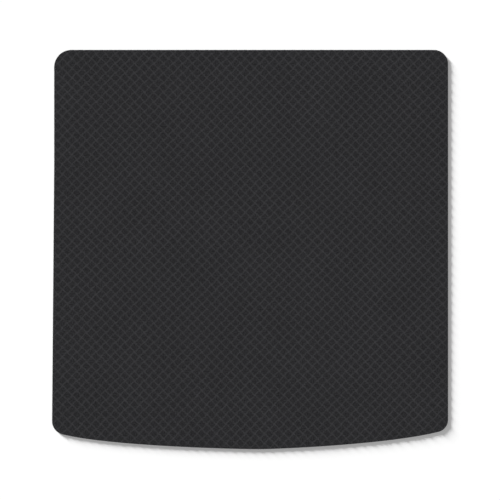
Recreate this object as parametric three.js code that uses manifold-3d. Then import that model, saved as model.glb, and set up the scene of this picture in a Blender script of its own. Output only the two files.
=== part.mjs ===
// A trunk mat: one sheet of black moulded rubber, cut to the floor of a car's load space.
//
// The sheet is flat underneath. Its top is covered by a lattice of low ridges, which cross
// at right angles and run at 45 degrees to the mat, so that they enclose small diamonds.
// The cut goes straight through the ridges, so they end open at the mat's edge. The front
// edge is straight, the right side is straight, the left side runs out a little towards
// the rear, and the rear edge is bowed to follow the tailgate's sill.
//
// Millimetres. X runs across the car, +Y points to its seats and +Z up. The origin is at
// the middle of the mat's length and width, on the underside.

import * as THREE from "three";
import { mergeVertices } from "three/addons/utils/BufferGeometryUtils.js";
import Module from "manifold-3d";

const DEGREE = Math.PI / 180;

// The outline
const matWidth = 990; // at the rear, before its corners are rounded
const matLength = 998; // from the front edge to the rearmost point of the bow
const frontLeftInset = 5.5; // the left side stands in by this much at the front
const frontLeftStraight = 288; // length of the left side ahead of its flare
const frontLeftRadius = 43;
const frontRightRadius = 35;
const rearRightRadius = 31;
const rearLeftRadius = 34;

// The bow of the rear edge. A rise is how far ahead of the rearmost point a corner would
// lie if it weren't rounded, and an angle is how much the edge there leans towards it.
const bowMiddle = 20; // the rearmost point lies this far to the right
const rearLeftRise = 43.5;
const rearLeftAngle = 14 * DEGREE;
const rearRightRise = 49.5;
const rearRightAngle = 14.5 * DEGREE;
const bowMiddlePull = 60; // how far the bow stays nearly level beside its middle
const bowEndPull = 120; // how far it keeps a corner's angle

// The sheet and its ridges
const sheetThickness = 3; // from the underside to the floor of the diamonds
const ridgeHeight = 1; // above that floor
const ridgeWidth = 4.6; // at the foot
const ridgePitch = 17; // from crest to crest, square across the ridges
const latticeAngle = 45 * DEGREE;
const crossingAhead = 8.4; // a crossing lies on the mat's middle line, this far ahead
const crossedDrop = 0.05; // the ridges that are crossed lie this much under the others

// The real lattice has a ridge at every pitch. Every second ridge is modelled, because
// each diamond costs about twelve triangles and the whole lattice has over 3,300 of them.
const pitchesPerModelledRidge = 2;

// What follows from those sizes
const modelledPitch = ridgePitch * pitchesPerModelledRidge;
const fullThickness = sheetThickness + ridgeHeight;

// How finely curves are divided
const cornerSegments = 12;
const bowSegments = 16;

const wasm = await Module();
wasm.setup();

// A closed three.js geometry as a solid.
function solidOf(geometry) {
  const bare = geometry.clone().deleteAttribute("normal").deleteAttribute("uv");
  const merged = mergeVertices(bare, 1e-4);
  return new wasm.Manifold(
    new wasm.Mesh({
      numProp: 3,
      vertProperties: merged.getAttribute("position").array,
      triVerts: new Uint32Array(merged.index.array),
    }),
  );
}

// A solid as a three.js geometry with flat faces.
function geometryOf(solid) {
  const { vertProperties, triVerts } = solid.getMesh();
  const shared = new THREE.BufferGeometry();
  shared.setAttribute("position", new THREE.BufferAttribute(vertProperties, 3));
  shared.setIndex(new THREE.BufferAttribute(triVerts, 1));
  const flat = shared.toNonIndexed();
  flat.computeVertexNormals();
  return flat;
}

// A direction in the plane of the mat.
function heading(angle) {
  return new THREE.Vector2(Math.cos(angle), Math.sin(angle));
}

// The arc that rounds a corner between two straight stretches, which leave the corner
// towards back and towards ahead. It turns left, as the outline does.
function cornerArc(corner, back, ahead, radius) {
  const halfAngle = Math.acos(back.dot(ahead)) / 2;
  const inwards = back.clone().add(ahead).normalize();
  const centre = corner.clone().addScaledVector(inwards, radius / Math.sin(halfAngle));
  const reach = radius / Math.tan(halfAngle);
  const start = corner.clone().addScaledVector(back, reach).sub(centre);
  const end = corner.clone().addScaledVector(ahead, reach).sub(centre);
  const arc = new THREE.EllipseCurve(
    centre.x, centre.y, radius, radius, start.angle(), end.angle(), false,
  );
  return arc.getPoints(cornerSegments);
}

// One half of the rear edge, from one point to another. Each is left along its heading.
function bowHalf(from, fromHeading, fromPull, to, toHeading, toPull) {
  const curve = new THREE.CubicBezierCurve(
    from,
    from.clone().addScaledVector(fromHeading, fromPull),
    to.clone().addScaledVector(toHeading, toPull),
    to,
  );
  return curve.getPoints(bowSegments);
}

// The mat's outline seen from above, anticlockwise from the front left corner.
function outlinePoints() {
  const right = matWidth / 2;
  const left = -right;
  const front = matLength / 2;
  const rear = -front;
  const frontLeft = new THREE.Vector2(left + frontLeftInset, front);
  const flare = new THREE.Vector2(left + frontLeftInset, front - frontLeftStraight);
  const rearLeft = new THREE.Vector2(left, rear + rearLeftRise);
  const rearMiddle = new THREE.Vector2(bowMiddle, rear);
  const rearRight = new THREE.Vector2(right, rear + rearRightRise);
  const frontRight = new THREE.Vector2(right, front);

  const rightwards = heading(0);
  const leftwards = heading(Math.PI);
  const forwards = heading(Math.PI / 2);
  const rearwards = heading(-Math.PI / 2);
  const towardsFlare = flare.clone().sub(rearLeft).normalize();
  const leftBowEnd = heading(-rearLeftAngle);
  const rightBowEnd = heading(Math.PI + rearRightAngle);

  const rearLeftArc = cornerArc(rearLeft, towardsFlare, leftBowEnd, rearLeftRadius);
  const rearRightArc = cornerArc(rearRight, rightBowEnd, forwards, rearRightRadius);
  const points = [
    ...cornerArc(frontLeft, rightwards, rearwards, frontLeftRadius),
    flare,
    ...rearLeftArc,
    ...bowHalf(rearLeftArc.at(-1), leftBowEnd, bowEndPull, rearMiddle, leftwards, bowMiddlePull),
    ...bowHalf(rearMiddle, rightwards, bowMiddlePull, rearRightArc[0], rightBowEnd, bowEndPull),
    ...rearRightArc,
    ...cornerArc(frontRight, rearwards, leftwards, frontRightRadius),
  ];
  const closest = 0.01; // two stretches share the point at which they meet
  return points.filter((point, i) => point.distanceTo(points.at(i - 1)) > closest);
}

// A square slab whose ridges all run along X, up to a given height. Its middle ridge
// crosses the origin.
function slabRidgedOneWay(ridgesEachSide, crestHeight) {
  const halfSize = (ridgesEachSide + 0.5) * modelledPitch;
  const floorHeight = crestHeight - ridgeHeight;
  const section = new THREE.Shape();
  section.moveTo(-halfSize, 0);
  section.lineTo(halfSize, 0);
  section.lineTo(halfSize, floorHeight);
  for (let i = ridgesEachSide; i >= -ridgesEachSide; i--) {
    const crest = i * modelledPitch;
    section.lineTo(crest + ridgeWidth / 2, floorHeight);
    section.lineTo(crest, crestHeight);
    section.lineTo(crest - ridgeWidth / 2, floorHeight);
  }
  section.lineTo(-halfSize, floorHeight);
  const slab = new THREE.ExtrudeGeometry(section, { depth: 2 * halfSize, bevelEnabled: false });
  slab.translate(0, 0, -halfSize);
  slab.rotateX(Math.PI / 2); // the section stands up, and the ridges lie along Y
  slab.rotateZ(Math.PI / 2);
  return slab;
}

// A square of ridged sheet, in the lattice's own frame, which reaches at least this far
// from the crossing at its middle. It is made of two slabs, each ridged one way.
function ridgedSheet(reach) {
  const ridgesEachSide = Math.ceil(reach / modelledPitch);
  const along = slabRidgedOneWay(ridgesEachSide, fullThickness);
  const across = slabRidgedOneWay(ridgesEachSide, fullThickness - crossedDrop);
  across.rotateZ(Math.PI / 2);
  return solidOf(along).add(solidOf(across));
}

// The mat: the ridged sheet, trimmed to the outline. The outline is turned into the
// lattice's frame for the cut, and the mat is turned back afterwards.
function matGeometry() {
  const outline = outlinePoints();
  const crossing = new THREE.Vector2(0, crossingAhead);
  const reach = Math.max(...outline.map((point) => point.distanceTo(crossing)));
  const cutter = new THREE.ExtrudeGeometry(new THREE.Shape(outline), {
    depth: 3 * fullThickness, // it passes the mat by its thickness, above and below
    bevelEnabled: false,
  });
  cutter.translate(0, -crossingAhead, -fullThickness);
  cutter.rotateZ(-latticeAngle);
  const trimmed = geometryOf(ridgedSheet(reach).intersect(solidOf(cutter)));
  return trimmed.rotateZ(latticeAngle).translate(0, crossingAhead, 0);
}

const rubber = new THREE.MeshStandardMaterial({
  color: 0x2d2d2f,
  roughness: 0.7,
  metalness: 0,
});

const mat = new THREE.Mesh(matGeometry(), rubber);
mat.name = "mat";

const trunkMat = new THREE.Group();
trunkMat.add(mat);

export default trunkMat;
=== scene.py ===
"""A trunk mat of ridged black rubber, lying flat, seen straight from above.

The mat follows the outline and the thickness of the solid that it dresses. Its lattice of
ridges is modelled whole, and is cut off at the outline as the real one is. All lengths are
in metres.
"""
import math

import bmesh
import bpy
from bpy.props import FloatProperty, FloatVectorProperty, IntProperty, PointerProperty
from mathutils import Matrix, Vector


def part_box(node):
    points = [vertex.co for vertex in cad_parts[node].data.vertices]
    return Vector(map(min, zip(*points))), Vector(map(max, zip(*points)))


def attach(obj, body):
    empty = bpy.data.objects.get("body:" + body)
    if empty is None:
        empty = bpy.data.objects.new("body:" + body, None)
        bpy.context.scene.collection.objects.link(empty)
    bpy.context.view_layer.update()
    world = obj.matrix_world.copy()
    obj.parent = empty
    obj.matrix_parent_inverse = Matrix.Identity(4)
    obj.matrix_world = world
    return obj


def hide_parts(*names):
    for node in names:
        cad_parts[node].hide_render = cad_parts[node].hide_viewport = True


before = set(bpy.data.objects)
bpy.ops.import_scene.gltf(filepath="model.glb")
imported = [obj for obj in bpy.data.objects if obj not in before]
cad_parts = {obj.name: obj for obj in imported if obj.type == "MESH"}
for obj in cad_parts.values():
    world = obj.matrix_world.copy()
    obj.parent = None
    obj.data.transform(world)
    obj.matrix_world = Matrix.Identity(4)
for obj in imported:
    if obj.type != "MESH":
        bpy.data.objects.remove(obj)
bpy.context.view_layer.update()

bl_info = {
    "name": "Trunk mat",
    "version": (1, 0, 0),
    "blender": (4, 5, 0),
    "location": "View3D > Sidebar > Trunk mat",
    "description": "Makes a ridged rubber mat for a car's load space, and a studio to show it in",
    "category": "Object",
}

MAT_LOW, MAT_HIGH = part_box("mat")
SAME_PLACE = 1e-6  # points closer than this are one
FLOOR_GAP = 0.0002  # the floor lies this far under the mat, so that two faces don't coincide
CUT_EDGE, UNDERSIDE = 1, 2  # material slots of the mat, whose top has slot 0
LATTICE_ANGLE = math.radians(45)
SHARP_ANGLE = math.radians(50)  # edges that turn by more than this stay sharp
BAND_CORE = 0.2  # share of a pale band's half width that is palest


class MatSizes(bpy.types.PropertyGroup):
    """Sizes of the mat's ridges. Its outline and thickness come from its solid."""

    ridge_pitch: FloatProperty(
        name="Ridge pitch",
        description="Distance from one crest to the next, square across the ridges",
        default=0.017, min=0.005, unit="LENGTH", precision=4,
    )
    ridge_width: FloatProperty(
        name="Ridge width",
        description="Width of a ridge at its foot",
        default=0.0046, min=0.001, unit="LENGTH", precision=4,
    )
    ridge_height: FloatProperty(
        name="Ridge height",
        description="Height of a crest above the floor of the diamonds",
        default=0.001, min=0.0002, unit="LENGTH", precision=4,
    )
    ridge_rings: IntProperty(
        name="Ridge rings",
        description="Strips of faces that round each side of a ridge",
        default=5, min=2, max=6,
    )
    crossing_ahead: FloatProperty(
        name="Crossing ahead of the middle",
        description="How far ahead of the mat's middle two ridges cross on its middle line",
        default=0.0084, unit="LENGTH", precision=4,
    )


class MatFinish(bpy.types.PropertyGroup):
    """Colours and surface of the rubber."""

    field_colour: FloatVectorProperty(
        name="Field",
        description="Colour of the rubber between the ridges",
        default=(0.0146, 0.0146, 0.016), subtype="COLOR", min=0, max=1,
    )
    diamond_contrast: FloatProperty(
        name="Diamond contrast",
        description="How much paler every second diamond is than its neighbours, as a share",
        default=0.09, min=0, max=1, subtype="FACTOR",
    )
    pale_width: FloatProperty(
        name="Pale width",
        description="How far the pale band on a ridge reaches to each side of its middle",
        default=0.003, min=0.0005, unit="LENGTH", precision=4,
    )
    weave: FloatProperty(
        name="Weave",
        description="How far the pale band swings to and fro from one diamond to the next",
        default=0.00065, min=0, unit="LENGTH", precision=5,
    )
    # Crest colour: partly pale rub wear, partly painted highlight standing in for the light that the
    # crests catch
    crest_wear_and_sheen_colour: FloatVectorProperty(
        name="Crests",
        description="Colour of the rubber on the crests of the ridges, which rub pale",
        default=(0.0284, 0.0284, 0.0306), subtype="COLOR", min=0, max=1,
    )
    cut_colour: FloatVectorProperty(
        name="Cut edge",
        description="Colour of the rubber where it was cut to shape",
        default=(0.014, 0.014, 0.0151), subtype="COLOR", min=0, max=1,
    )
    under_colour: FloatVectorProperty(
        name="Underside",
        description="Colour of the rubber underneath",
        default=(0.0165, 0.0165, 0.0179), subtype="COLOR", min=0, max=1,
    )
    mottle: FloatProperty(
        name="Mottle",
        description="How much the rubber's shade wanders over the mat, as a share",
        default=0.1, min=0, max=1, subtype="FACTOR",
    )
    speckle: FloatProperty(
        name="Speckle",
        description="How much the shade changes from one millimetre to the next, as a share",
        default=0.7, min=0, max=1, subtype="FACTOR",
    )
    grain_size: FloatProperty(
        name="Grain size",
        description="Width of one grain of the rubber's matt surface",
        default=0.0006, min=0.0001, unit="LENGTH", precision=5,
    )
    grain_depth: FloatProperty(
        name="Grain depth",
        description="Depth of the rubber's matt surface",
        default=0.00005, min=0, unit="LENGTH", precision=6,
    )


class StudioLook(bpy.types.PropertyGroup):
    """Camera, floor and lights."""

    view_width: FloatProperty(
        name="View width",
        description="Width that the camera takes in, at the height of the mat's top",
        default=1.2494, unit="LENGTH",
    )
    view_centre: FloatVectorProperty(
        name="View centre",
        description="Point that the camera looks straight down on",
        size=2, default=(0, -0.00115), subtype="XYZ", unit="LENGTH", precision=5,
    )
    lens: FloatProperty(
        name="Lens",
        description="Focal length of the camera, in millimetres",
        default=100,
    )
    floor_size: FloatProperty(
        name="Floor size",
        description="Length of each side of the floor",
        default=12, unit="LENGTH",
    )
    floor_colour: FloatVectorProperty(
        name="Floor",
        description="Colour of the floor",
        default=(0.9, 0.9, 0.9), subtype="COLOR", min=0, max=1,
    )
    floor_glow: FloatProperty(
        name="Floor glow",
        description="White that is seen on the floor besides its lit colour",
        default=0.2, min=0,
    )
    sky_strength: FloatProperty(
        name="Sky",
        description="Strength of the even white light from all round",
        default=0.2, min=0,
    )
    side_strength: FloatProperty(
        name="Side lights",
        description="Strength of each of the four soft lights around the mat",
        default=0.82, min=0,
    )
    side_elevation: FloatProperty(
        name="Side lights' elevation",
        description="Height of the four soft lights above the horizon",
        default=math.radians(50), subtype="ANGLE",
    )
    side_softness: FloatProperty(
        name="Side lights' softness",
        description="Width of each of the four soft lights as the mat sees it",
        default=math.radians(40), subtype="ANGLE",
    )
    shadow_strength: FloatProperty(
        name="Shadow light",
        description="Strength of the low light that draws the mat's shadow on the floor",
        default=13.9, min=0,
    )
    shadow_azimuth: FloatProperty(
        name="Shadow light's azimuth",
        description="Side that the low light comes from, anticlockwise from the mat's right",
        default=math.radians(135), subtype="ANGLE",
    )
    shadow_elevation: FloatProperty(
        name="Shadow light's elevation",
        description="Height of the low light above the horizon",
        default=math.radians(9.5), subtype="ANGLE",
    )
    shadow_softness: FloatProperty(
        name="Shadow softness",
        description="Width of the low light as the mat sees it",
        default=math.radians(16), subtype="ANGLE",
    )


# The mat's mesh


def underside_outline():
    """The corners of the solid's flat underside, anticlockwise seen from above."""
    bm = bmesh.new()
    bm.from_mesh(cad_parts["mat"].data)
    bmesh.ops.remove_doubles(bm, verts=bm.verts, dist=SAME_PLACE)
    lifted = [v for v in bm.verts if v.co.z > MAT_LOW.z + SAME_PLACE]
    bmesh.ops.delete(bm, geom=lifted, context="VERTS")
    underside = bmesh.ops.dissolve_faces(bm, faces=bm.faces[:])["region"][0]
    outline = [v.co.xy for v in underside.verts]
    bm.free()
    outline.reverse()  # the underside faces down, so its corners run clockwise from above
    return outline


def sides_of(outline):
    """Each stretch of the outline as its start and its end."""
    return [(outline[i - 1], corner) for i, corner in enumerate(outline)]


def hollow_corner(outline):
    """The one corner at which the outline turns right, which parts it into convex halves."""
    following = outline[1:] + outline[:1]
    for (before, corner), after in zip(sides_of(outline), following):
        if (corner - before).cross(after - corner) < -SAME_PLACE * SAME_PLACE:
            return corner
    raise RuntimeError("the mat's outline has no hollow corner")


def add_plain_cells(bm, sizes):
    """Flat diamond cells at the height of the crests, over the mat and a little more."""
    reach = MAT_HIGH.xy.length + sizes.crossing_ahead
    cells_each_way = math.ceil(reach / sizes.ridge_pitch)
    bmesh.ops.create_grid(
        bm,
        x_segments=2 * cells_each_way,
        y_segments=2 * cells_each_way,
        size=cells_each_way * sizes.ridge_pitch,
    )
    on_tips = Matrix.Rotation(LATTICE_ANGLE, 4, "Z")
    crossing = Matrix.Translation((0, sizes.crossing_ahead, MAT_HIGH.z))
    bmesh.ops.transform(bm, matrix=crossing @ on_tips, verts=bm.verts)

    margin = sizes.ridge_pitch * math.sqrt(0.5)
    strays = []
    for cell in bm.faces:
        middle = cell.calc_center_median()
        if abs(middle.x) > MAT_HIGH.x + margin or abs(middle.y) > MAT_HIGH.y + margin:
            strays.append(cell)
    bmesh.ops.delete(bm, geom=strays, context="FACES")


def sink_cells(bm, sizes):
    """Insets every cell in rings down to its floor, which leaves round ridges between."""
    cells = bm.faces[:]
    height = sizes.ridge_height
    for ring in range(sizes.ridge_rings):
        start, end = ring / sizes.ridge_rings, (ring + 1) / sizes.ridge_rings
        drop = height * (math.cos(math.pi * start) - math.cos(math.pi * end)) / 2
        bmesh.ops.inset_individual(
            bm,
            faces=cells,
            thickness=(end - start) * sizes.ridge_width / 2,
            depth=-drop,
            use_even_offset=True,
        )


def cut_along(bm, start, end, ahead, split_y):
    """Cuts off what lies outside one side of the outline, in one half of the mat."""
    faces = [f for f in bm.faces if (f.calc_center_median().y > split_y) == ahead]
    edges = {edge for face in faces for edge in face.edges}
    verts = {vert for face in faces for vert in face.verts}
    along = (end - start).normalized()
    outwards = Vector((along.y, -along.x, 0))
    bmesh.ops.bisect_plane(
        bm,
        geom=[*verts, *edges, *faces],
        dist=SAME_PLACE,
        plane_co=start.to_3d(),
        plane_no=outwards,
        clear_outer=True,
    )


def cut_to_outline(bm, outline):
    """Cuts the lattice to the mat's outline.

    It is parted across at the outline's hollow corner, because each half is convex, and is
    joined again after the cuts.
    """
    split_y = hollow_corner(outline).y
    parted = bmesh.ops.bisect_plane(
        bm,
        geom=[*bm.verts, *bm.edges, *bm.faces],
        dist=SAME_PLACE,
        plane_co=(0, split_y, 0),
        plane_no=(0, 1, 0),
    )["geom_cut"]
    seam = [item for item in parted if isinstance(item, bmesh.types.BMEdge)]
    bmesh.ops.split_edges(bm, edges=seam)
    for start, end in sides_of(outline):
        if max(start.y, end.y) > split_y + SAME_PLACE:
            cut_along(bm, start, end, True, split_y)
        if min(start.y, end.y) < split_y - SAME_PLACE:
            cut_along(bm, start, end, False, split_y)
    bmesh.ops.remove_doubles(bm, verts=bm.verts, dist=SAME_PLACE)
    loose = [vert for vert in bm.verts if not vert.link_faces]
    bmesh.ops.delete(bm, geom=loose, context="VERTS")


def close_mat(bm):
    """Draws the cut rim down to the underside and closes it."""
    rim = [edge for edge in bm.edges if edge.is_boundary]
    drawn = bmesh.ops.extrude_edge_only(bm, edges=rim)["geom"]
    foot = [item for item in drawn if isinstance(item, bmesh.types.BMVert)]
    bmesh.ops.scale(bm, vec=(1, 1, 0), verts=foot)
    for item in drawn:
        if isinstance(item, bmesh.types.BMFace):
            item.material_index = CUT_EDGE
    foot_edges = [edge for edge in bm.edges if edge.is_boundary]
    for face in bmesh.ops.contextual_create(bm, geom=foot_edges)["faces"]:
        face.material_index = UNDERSIDE
    bmesh.ops.recalc_face_normals(bm, faces=bm.faces)


def make_mat_mesh(sizes):
    """The whole mat as a mesh: the lattice on top, the cut edge and the underside."""
    bm = bmesh.new()
    add_plain_cells(bm, sizes)
    sink_cells(bm, sizes)
    cut_to_outline(bm, underside_outline())
    close_mat(bm)
    for face in bm.faces:
        face.smooth = True
    mesh = bpy.data.meshes.new("ridged_mat")
    bm.to_mesh(mesh)
    bm.free()
    mesh.set_sharp_from_angle(angle=SHARP_ANGLE)
    return mesh


# Materials


def add_node(tree, kind, place, **settings):
    """A shader node at a place in the node editor, with settings and input values."""
    node = tree.nodes.new(kind)
    node.location = place
    inputs = settings.pop("inputs", {})
    for name, value in settings.items():
        setattr(node, name, value)
    for name, value in inputs.items():
        node.inputs[name].default_value = value
    return node


def new_group(name, inputs, outputs):
    """An empty shader node group with its input and output nodes."""
    tree = bpy.data.node_groups.new(name, "ShaderNodeTree")
    for socket, kind in inputs.items():
        tree.interface.new_socket(socket, in_out="INPUT", socket_type=kind)
    for socket, kind in outputs.items():
        tree.interface.new_socket(socket, in_out="OUTPUT", socket_type=kind)
    return tree, add_node(tree, "NodeGroupInput", (-900, 0)), add_node(tree, "NodeGroupOutput", (900, 0))


def mottled_rubber_group():
    """Rubber whose shade wanders, in wide clouds, in streaks from the rollers and in specks."""
    tree, given, result = new_group(
        "Mottled rubber",
        {"Position": "NodeSocketVector", "Colour": "NodeSocketColor", "Mottle": "NodeSocketFloat",
         "Speckle": "NodeSocketFloat"},
        {"Colour": "NodeSocketColor"},
    )
    clouds = add_node(tree, "ShaderNodeTexNoise", (-650, 200), inputs={"Scale": 9, "Detail": 6})
    stretch = add_node(tree, "ShaderNodeMapping", (-650, -150), inputs={"Scale": (40, 260, 40)})
    streaks = add_node(tree, "ShaderNodeTexNoise", (-430, -150), inputs={"Scale": 1, "Detail": 3})
    blend = add_node(tree, "ShaderNodeMix", (-200, 100), inputs={"Factor": 0.3})
    centred = add_node(tree, "ShaderNodeMapRange", (0, 100), inputs={
        "From Min": 0.3, "From Max": 0.7, "To Min": -1, "To Max": 1,
    })
    gain = add_node(tree, "ShaderNodeMath", (200, 100), operation="MULTIPLY_ADD")
    gain.inputs[2].default_value = 1
    specks = add_node(tree, "ShaderNodeTexNoise", (-430, -400), inputs={"Scale": 330, "Detail": 2})
    speck = add_node(tree, "ShaderNodeMapRange", (0, -300), inputs={
        "From Min": 0.3, "From Max": 0.7, "To Min": -1, "To Max": 1,
    })
    speck_gain = add_node(tree, "ShaderNodeMath", (200, -300), operation="MULTIPLY_ADD")
    tinted = add_node(tree, "ShaderNodeVectorMath", (450, 0), operation="SCALE")

    link = tree.links.new
    link(given.outputs["Position"], specks.inputs["Vector"])
    link(specks.outputs["Fac"], speck.inputs["Value"])
    link(speck.outputs["Result"], speck_gain.inputs[0])
    link(given.outputs["Speckle"], speck_gain.inputs[1])
    link(gain.outputs["Value"], speck_gain.inputs[2])
    link(given.outputs["Position"], clouds.inputs["Vector"])
    link(given.outputs["Position"], stretch.inputs["Vector"])
    link(stretch.outputs["Vector"], streaks.inputs["Vector"])
    link(clouds.outputs["Fac"], blend.inputs["A"])
    link(streaks.outputs["Fac"], blend.inputs["B"])
    link(blend.outputs["Result"], centred.inputs["Value"])
    link(centred.outputs["Result"], gain.inputs[0])
    link(given.outputs["Mottle"], gain.inputs[1])
    link(given.outputs["Colour"], tinted.inputs[0])
    link(speck_gain.outputs["Value"], tinted.inputs["Scale"])
    link(tinted.outputs["Vector"], result.inputs["Colour"])
    return tree


def matt_grain_group():
    """The fine pebbled grain that a mould gives to rubber, as a height from 0 to 1."""
    tree, given, result = new_group(
        "Matt grain",
        {"Position": "NodeSocketVector", "Grain Size": "NodeSocketFloat"},
        {"Height": "NodeSocketFloat"},
    )
    per_metre = add_node(tree, "ShaderNodeMath", (-650, -100), operation="DIVIDE")
    per_metre.inputs[0].default_value = 1
    pebbles = add_node(tree, "ShaderNodeTexVoronoi", (-400, 150), feature="SMOOTH_F1",
                       inputs={"Smoothness": 0.6})
    dust = add_node(tree, "ShaderNodeTexNoise", (-400, -200), inputs={"Detail": 4})
    blend = add_node(tree, "ShaderNodeMix", (-100, 0), inputs={"Factor": 0.45})

    link = tree.links.new
    link(given.outputs["Grain Size"], per_metre.inputs[1])
    link(given.outputs["Position"], pebbles.inputs["Vector"])
    link(given.outputs["Position"], dust.inputs["Vector"])
    link(per_metre.outputs["Value"], pebbles.inputs["Scale"])
    link(per_metre.outputs["Value"], dust.inputs["Scale"])
    link(pebbles.outputs["Distance"], blend.inputs["A"])
    link(dust.outputs["Fac"], blend.inputs["B"])
    link(blend.outputs["Result"], result.inputs["Height"])
    return tree


def shared_group(name, make):
    """The node group of this name, made if it isn't there yet."""
    return bpy.data.node_groups.get(name) or make()


def start_rubber(name, finish):
    """A rubber material with its position, mottle, grain, bump and surface nodes."""
    material = bpy.data.materials.new(name)
    material.use_nodes = True
    tree = material.node_tree
    tree.nodes.clear()
    position = add_node(tree, "ShaderNodeTexCoord", (-1300, 0))
    mottle = add_node(tree, "ShaderNodeGroup", (-300, 200),
                      node_tree=shared_group("Mottled rubber", mottled_rubber_group),
                      inputs={"Mottle": finish.mottle, "Speckle": finish.speckle})
    grain = add_node(tree, "ShaderNodeGroup", (-600, -400),
                     node_tree=shared_group("Matt grain", matt_grain_group),
                     inputs={"Grain Size": finish.grain_size})
    bump = add_node(tree, "ShaderNodeBump", (-100, -400), inputs={"Distance": finish.grain_depth})
    surface = add_node(tree, "ShaderNodeBsdfPrincipled", (200, 200),
                       inputs={"Specular IOR Level": 0.1})
    output = add_node(tree, "ShaderNodeOutputMaterial", (550, 200))

    link = tree.links.new
    link(position.outputs["Object"], mottle.inputs["Position"])
    link(position.outputs["Object"], grain.inputs["Position"])
    link(grain.outputs["Height"], bump.inputs["Height"])
    link(bump.outputs["Normal"], surface.inputs["Normal"])
    link(mottle.outputs["Colour"], surface.inputs["Base Color"])
    link(surface.outputs["BSDF"], output.inputs["Surface"])
    return material, {"position": position, "mottle": mottle, "grain": grain, "bump": bump,
                      "surface": surface}


def pale_ridge_group():
    """The pale band along the ridges of one family, from 0 beside it to 1 on its crest: partly rub wear
    and partly painted highlight on the crests.

    Across is the distance across the ridges in pitches, and Aside is how far the band lies
    to one side of the crest. It changes sides at every crossing, so the ridges weave.
    """
    tree, given, result = new_group(
        "Pale ridge",
        {"Across": "NodeSocketFloat", "Along": "NodeSocketFloat", "Width": "NodeSocketFloat",
         "Aside": "NodeSocketFloat"},
        {"Mask": "NodeSocketFloat"},
    )
    nearest = add_node(tree, "ShaderNodeMath", (-650, 200), operation="ROUND")
    segment = add_node(tree, "ShaderNodeMath", (-650, -100), operation="FLOOR")
    steps = add_node(tree, "ShaderNodeMath", (-450, 50), operation="ADD")
    swing = add_node(tree, "ShaderNodeMath", (-270, 50), operation="PINGPONG")
    swing.inputs[1].default_value = 1
    side = add_node(tree, "ShaderNodeMath", (-90, 50), operation="MULTIPLY_ADD")
    side.inputs[1].default_value = 2
    side.inputs[2].default_value = -1
    moved = add_node(tree, "ShaderNodeMath", (90, 50), operation="MULTIPLY_ADD")
    from_crest = add_node(tree, "ShaderNodeMath", (270, 50), operation="PINGPONG")
    from_crest.inputs[1].default_value = 0.5
    inner = add_node(tree, "ShaderNodeMath", (270, -200), operation="MULTIPLY")
    inner.inputs[1].default_value = BAND_CORE
    band = add_node(tree, "ShaderNodeMapRange", (500, 50), interpolation_type="SMOOTHSTEP",
                    inputs={"To Min": 1, "To Max": 0})

    link = tree.links.new
    link(given.outputs["Across"], nearest.inputs[0])
    link(given.outputs["Along"], segment.inputs[0])
    link(nearest.outputs["Value"], steps.inputs[0])
    link(segment.outputs["Value"], steps.inputs[1])
    link(steps.outputs["Value"], swing.inputs[0])
    link(swing.outputs["Value"], side.inputs[0])
    link(side.outputs["Value"], moved.inputs[0])
    link(given.outputs["Aside"], moved.inputs[1])
    link(given.outputs["Across"], moved.inputs[2])
    link(moved.outputs["Value"], from_crest.inputs[0])
    link(given.outputs["Width"], inner.inputs[0])
    link(from_crest.outputs["Value"], band.inputs["Value"])
    link(inner.outputs["Value"], band.inputs["From Min"])
    link(given.outputs["Width"], band.inputs["From Max"])
    link(band.outputs["Result"], result.inputs["Mask"])
    return tree


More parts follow.
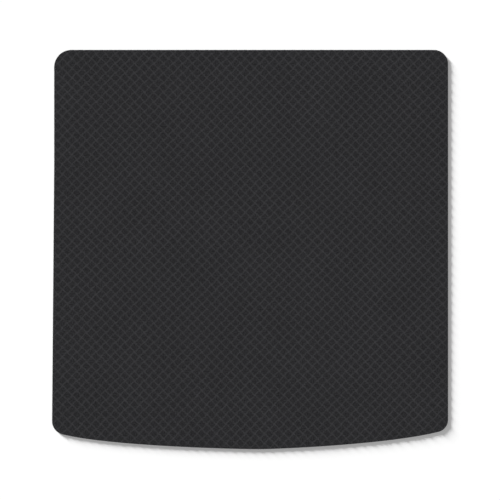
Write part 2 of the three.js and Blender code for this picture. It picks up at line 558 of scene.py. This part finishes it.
def ridged_rubber(sizes, finish):
    """The mat's top: matt black, paler along the ridges and palest where they cross. The pale band is
    partly rub wear and partly painted highlight where the crests would catch light.
    """
    material, parts = start_rubber("ridged rubber", finish)
    tree = material.node_tree
    on_diamonds = add_node(tree, "ShaderNodeMapping", (-1700, 500), vector_type="TEXTURE")
    on_diamonds.inputs["Location"].default_value = (0, sizes.crossing_ahead, 0)
    on_diamonds.inputs["Rotation"].default_value = (0, 0, LATTICE_ANGLE)
    on_diamonds.inputs["Scale"].default_value = (sizes.ridge_pitch,) * 3
    diamonds = add_node(tree, "ShaderNodeTexChecker", (-900, 800), inputs={"Scale": 1})
    pale, dark = (
        [channel * (1 + side * finish.diamond_contrast / 2) for channel in finish.field_colour]
        for side in (1, -1)
    )
    diamonds.inputs["Color1"].default_value = (*pale, 1)
    diamonds.inputs["Color2"].default_value = (*dark, 1)
    lattice = add_node(tree, "ShaderNodeSeparateXYZ", (-1500, 500))
    ridges = [
        add_node(tree, "ShaderNodeGroup", (-1250, 500 - 220 * i),
                 node_tree=shared_group("Pale ridge", pale_ridge_group),
                 inputs={"Width": finish.pale_width / sizes.ridge_pitch,
                         "Aside": side * finish.weave / sizes.ridge_pitch})
        for i, side in enumerate((1, -1))
    ]
    both = add_node(tree, "ShaderNodeMath", (-1050, 400), operation="ADD")
    # Patchiness of the pale crest band, which is partly wear and partly painted highlight
    patchy_sheen_and_wear = add_node(tree, "ShaderNodeTexNoise", (-1250, 50), inputs={"Scale": 260, "Detail": 3})
    uneven = add_node(tree, "ShaderNodeMapRange", (-1050, 50), inputs={
        "From Min": 0.3, "From Max": 0.7, "To Min": 0.62, "To Max": 0.78,
    })
    # Mask of the pale crest band: partly rub wear, partly painted highlight on the crests and their
    # crossings
    sheen_and_wear_mask = add_node(tree, "ShaderNodeMath", (-800, 250), operation="MULTIPLY", use_clamp=True)
    colour = add_node(tree, "ShaderNodeMix", (-550, 350), data_type="RGBA")
    colour.inputs["B"].default_value = (*finish.crest_wear_and_sheen_colour, 1)
    fading = add_node(tree, "ShaderNodeMapRange", (-550, 100), inputs={
        "To Min": finish.speckle, "To Max": finish.speckle / 4,
    })
    gloss = add_node(tree, "ShaderNodeMapRange", (-100, 0), inputs={"To Min": 0.72, "To Max": 0.6})

    link = tree.links.new
    link(parts["position"].outputs["Object"], on_diamonds.inputs["Vector"])
    link(on_diamonds.outputs["Vector"], diamonds.inputs["Vector"])
    link(on_diamonds.outputs["Vector"], lattice.inputs["Vector"])
    for i, (across, along) in enumerate((("X", "Y"), ("Y", "X"))):
        link(lattice.outputs[across], ridges[i].inputs["Across"])
        link(lattice.outputs[along], ridges[i].inputs["Along"])
        link(ridges[i].outputs["Mask"], both.inputs[i])
    link(parts["position"].outputs["Object"], patchy_sheen_and_wear.inputs["Vector"])
    link(patchy_sheen_and_wear.outputs["Fac"], uneven.inputs["Value"])
    link(both.outputs["Value"], sheen_and_wear_mask.inputs[0])
    link(uneven.outputs["Result"], sheen_and_wear_mask.inputs[1])
    link(sheen_and_wear_mask.outputs["Value"], colour.inputs["Factor"])
    link(diamonds.outputs["Color"], colour.inputs["A"])
    link(colour.outputs["Result"], parts["mottle"].inputs["Colour"])
    link(sheen_and_wear_mask.outputs["Value"], fading.inputs["Value"])
    link(fading.outputs["Result"], parts["mottle"].inputs["Speckle"])
    link(sheen_and_wear_mask.outputs["Value"], gloss.inputs["Value"])
    link(gloss.outputs["Result"], parts["surface"].inputs["Roughness"])
    return material


def cut_rubber(finish):
    """The mat's edge, drawn finely upright by the blade that cut it."""
    material, parts = start_rubber("cut rubber", finish)
    parts["mottle"].inputs["Colour"].default_value = (*finish.cut_colour, 1)
    tree = material.node_tree
    drawn = add_node(tree, "ShaderNodeMapping", (-900, -400), inputs={"Scale": (1, 1, 0.15)})
    roughness = add_node(tree, "ShaderNodeMapRange", (-100, 0), inputs={
        "To Min": 0.7, "To Max": 0.85,
    })
    link = tree.links.new
    link(parts["position"].outputs["Object"], drawn.inputs["Vector"])
    link(drawn.outputs["Vector"], parts["grain"].inputs["Position"])
    link(parts["grain"].outputs["Height"], roughness.inputs["Value"])
    link(roughness.outputs["Result"], parts["surface"].inputs["Roughness"])
    return material


def pressed_rubber(finish):
    """The mat's underside, plain and dull, with the shallow unevenness of pressed sheet."""
    material, parts = start_rubber("pressed rubber", finish)
    parts["mottle"].inputs["Colour"].default_value = (*finish.under_colour, 1)
    parts["mottle"].inputs["Speckle"].default_value = finish.speckle / 2
    tree = material.node_tree
    dullness = add_node(tree, "ShaderNodeTexNoise", (-500, 0), inputs={"Scale": 24, "Detail": 4})
    roughness = add_node(tree, "ShaderNodeMapRange", (-100, 0), inputs={
        "From Min": 0.3, "From Max": 0.7, "To Min": 0.68, "To Max": 0.8,
    })
    link = tree.links.new
    link(parts["position"].outputs["Object"], dullness.inputs["Vector"])
    link(dullness.outputs["Fac"], roughness.inputs["Value"])
    link(roughness.outputs["Result"], parts["surface"].inputs["Roughness"])
    return material


# The studio


def seen_directly(tree, place):
    """1 for rays from the camera, off a gloss or through glass, and 0 for all others."""
    path = add_node(tree, "ShaderNodeLightPath", place)
    first = add_node(tree, "ShaderNodeMath", (place[0] + 200, place[1]), operation="MAXIMUM")
    second = add_node(tree, "ShaderNodeMath", (place[0] + 400, place[1]), operation="MAXIMUM")
    tree.links.new(path.outputs["Is Camera Ray"], first.inputs[0])
    tree.links.new(path.outputs["Is Glossy Ray"], first.inputs[1])
    tree.links.new(first.outputs["Value"], second.inputs[0])
    tree.links.new(path.outputs["Is Transmission Ray"], second.inputs[1])
    return second.outputs["Value"]


def floor_material(look):
    """A pale floor that is lit like any other, with some white added where it is seen."""
    material = bpy.data.materials.new("studio floor")
    material.use_nodes = True
    tree = material.node_tree
    surface = tree.nodes["Principled BSDF"]
    surface.inputs["Base Color"].default_value = (*look.floor_colour, 1)
    surface.inputs["Roughness"].default_value = 1
    surface.inputs["Specular IOR Level"].default_value = 0
    surface.inputs["Emission Color"].default_value = (1, 1, 1, 1)
    glow = add_node(tree, "ShaderNodeMath", (-250, -300), operation="MULTIPLY")
    glow.inputs[1].default_value = look.floor_glow
    tree.links.new(seen_directly(tree, (-900, -300)), glow.inputs[0])
    tree.links.new(glow.outputs["Value"], surface.inputs["Emission Strength"])
    return material


def make_floor(look):
    """The floor that the mat lies on."""
    bm = bmesh.new()
    bmesh.ops.create_grid(bm, x_segments=1, y_segments=1, size=look.floor_size / 2)
    bmesh.ops.translate(bm, vec=(0, 0, MAT_LOW.z - FLOOR_GAP), verts=bm.verts)
    mesh = bpy.data.meshes.new("studio_floor")
    bm.to_mesh(mesh)
    bm.free()
    mesh.materials.append(floor_material(look))
    floor = bpy.data.objects.new("studio_floor", mesh)
    bpy.context.collection.objects.link(floor)
    return floor


def make_sky(look):
    """White all round where it is seen, and a weaker even light on the scene."""
    world = bpy.data.worlds.new("studio sky")
    world.use_nodes = True
    tree = world.node_tree
    strength = add_node(tree, "ShaderNodeMapRange", (-250, 0), inputs={
        "To Min": look.sky_strength, "To Max": 1,
    })
    tree.nodes["Background"].inputs["Color"].default_value = (1, 1, 1, 1)
    tree.links.new(seen_directly(tree, (-900, 0)), strength.inputs["Value"])
    tree.links.new(strength.outputs["Result"], tree.nodes["Background"].inputs["Strength"])
    bpy.context.scene.world = world


def add_far_light(name, strength, azimuth, elevation, softness, lit):
    """A light far away, which shines from a direction on one object only.

    Azimuth runs anticlockwise from +X.
    """
    data = bpy.data.lights.new(name, "SUN")
    data.energy = strength
    data.angle = softness
    light = bpy.data.objects.new(name, data)
    flat = math.cos(elevation)
    towards = Vector((flat * math.cos(azimuth), flat * math.sin(azimuth), math.sin(elevation)))
    light.rotation_euler = towards.to_track_quat("Z", "Y").to_euler()
    bpy.context.collection.objects.link(light)
    receivers = bpy.data.collections.new(f"{name} shines on")
    receivers.objects.link(lit)
    light.light_linking.receiver_collection = receivers


def make_camera(look):
    """A camera that looks straight down, with the mat's front edge at the top."""
    data = bpy.data.cameras.new("camera")
    data.lens = look.lens
    camera = bpy.data.objects.new("camera", data)
    distance = look.lens / data.sensor_width * look.view_width
    camera.location = (*look.view_centre, MAT_HIGH.z + distance)
    bpy.context.collection.objects.link(camera)
    bpy.context.scene.camera = camera


# Operators, panel and registration


class MESH_OT_ridged_mat(bpy.types.Operator):
    """Make the ridged rubber mat in place of its solid"""

    bl_idname = "mesh.ridged_mat"
    bl_label = "Ridged mat"

    def execute(self, context):
        sizes = context.scene.mat_sizes
        finish = context.scene.mat_finish
        mesh = make_mat_mesh(sizes)
        mesh.materials.append(ridged_rubber(sizes, finish))
        mesh.materials.append(cut_rubber(finish))
        mesh.materials.append(pressed_rubber(finish))
        mat = bpy.data.objects.new("ridged_mat", mesh)
        context.collection.objects.link(mat)
        flat_fields = mat.modifiers.new("flat fields", "WEIGHTED_NORMAL")
        flat_fields.keep_sharp = True
        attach(mat, "root")
        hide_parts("mat")
        return {"FINISHED"}


class SCENE_OT_mat_studio(bpy.types.Operator):
    """Make the floor, the lights, the sky and the camera around the mat"""

    bl_idname = "scene.mat_studio"
    bl_label = "Studio"

    def execute(self, context):
        look = context.scene.studio_look
        mat = bpy.data.objects["ridged_mat"]
        floor = make_floor(look)
        make_sky(look)
        for quarter in range(4):
            add_far_light(
                f"side light {quarter + 1}",
                look.side_strength,
                azimuth=math.radians(90 * quarter),
                elevation=look.side_elevation,
                softness=look.side_softness,
                lit=mat,
            )
        add_far_light(
            "shadow light",
            look.shadow_strength,
            azimuth=look.shadow_azimuth,
            elevation=look.shadow_elevation,
            softness=look.shadow_softness,
            lit=floor,
        )
        make_camera(look)
        context.scene.view_settings.view_transform = "Standard"
        return {"FINISHED"}


class VIEW3D_PT_trunk_mat(bpy.types.Panel):
    """The mat's and the studio's settings and makers"""

    bl_label = "Trunk mat"
    bl_idname = "VIEW3D_PT_trunk_mat"
    bl_space_type = "VIEW_3D"
    bl_region_type = "UI"
    bl_category = "Trunk mat"

    def draw(self, context):
        scene = context.scene
        for settings, operator in (
            (scene.mat_sizes, None),
            (scene.mat_finish, MESH_OT_ridged_mat.bl_idname),
            (scene.studio_look, SCENE_OT_mat_studio.bl_idname),
        ):
            box = self.layout.box()
            for name in settings.__annotations__:
                box.prop(settings, name)
            if operator:
                box.operator(operator)


CLASSES = (
    MatSizes,
    MatFinish,
    StudioLook,
    MESH_OT_ridged_mat,
    SCENE_OT_mat_studio,
    VIEW3D_PT_trunk_mat,
)


def register():
    for cls in CLASSES:
        bpy.utils.register_class(cls)
    bpy.types.Scene.mat_sizes = PointerProperty(type=MatSizes)
    bpy.types.Scene.mat_finish = PointerProperty(type=MatFinish)
    bpy.types.Scene.studio_look = PointerProperty(type=StudioLook)


def unregister():
    del bpy.types.Scene.studio_look
    del bpy.types.Scene.mat_finish
    del bpy.types.Scene.mat_sizes
    for cls in reversed(CLASSES):
        bpy.utils.unregister_class(cls)


def main():
    register()
    bpy.ops.mesh.ridged_mat()
    bpy.ops.scene.mat_studio()


if __name__ == "__main__":
    main()
